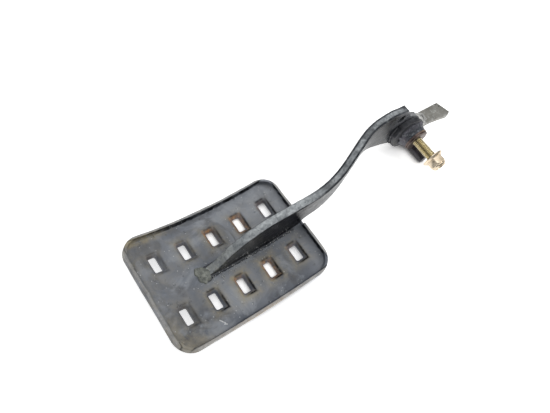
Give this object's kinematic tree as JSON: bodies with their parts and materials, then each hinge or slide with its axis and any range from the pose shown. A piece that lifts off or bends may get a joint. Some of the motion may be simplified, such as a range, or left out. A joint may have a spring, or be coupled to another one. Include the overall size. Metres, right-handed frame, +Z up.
{
  "type": "foot brake pedal",
  "caption": "Foot brake pedal: curved slotted foot plate welded to an S-bent flat arm, with a bushed pivot tube on its bolt and nut, a stop pin and a tail lever.",
  "frame": {"origin": "on the pivot axis, at the outer face of the outer washer, where the vehicle's bracket seats", "axes": "-Y along the pivot bolt towards its free end; +X from the foot plate to the tail lever; +Z up with the pedal lying on its tread side"},
  "size_m": [0.2787, 0.0814, 0.0509],
  "materials": {
    "frame_paint": "worn satin black enamel, scuffed and dusty",
    "head_paint": "rough dark enamel over weld spatter",
    "bare_steel": "bare steel, dull, lightly oxidised",
    "bush_bronze": "dark oily bearing bronze",
    "sleeve_steel": "ground steel",
    "washer_steel": "plated steel, worn brown",
    "zinc_yellow": "yellow zinc plate",
    "nut_zinc": "bright yellow zinc plate",
    "pin_steel": "dark hardened steel, chipped",
    "weld_paint": "painted weld bead with spatter",
    "weld_bare": "bare weld metal, silvery"
  },
  "bodies": {
    "pivot_hardware": {"pivot_bolt": "zinc_yellow", "flange_nut": "nut_zinc", "spacer_sleeve": "sleeve_steel", "washer_outer": "washer_steel", "washer_inner": "washer_steel"},
    "pedal": {"foot_plate": "frame_paint", "arm_bar": "frame_paint", "head_plate": "head_paint", "pivot_tube": "head_paint", "tail_lever": "bare_steel", "stop_pin": "pin_steel", "bush_outer": "bush_bronze", "bush_inner": "bush_bronze", "weld_plate_near": "weld_paint", "weld_plate_far": "weld_paint", "weld_arm_tip": "weld_paint", "weld_tube_near": "head_paint", "weld_tube_far": "head_paint", "weld_pin": "head_paint", "weld_tail_top": "weld_bare", "weld_tail_under": "weld_bare", "weld_head_plate": "head_paint"}
  },
  "joints": [
    {"name": "pedal_swing", "type": "hinge", "parent": "pivot_hardware", "child": "pedal", "pos_m": [0, 0, 0], "axis": [0, 1, 0], "range_deg": [0, 25]}
  ]
}
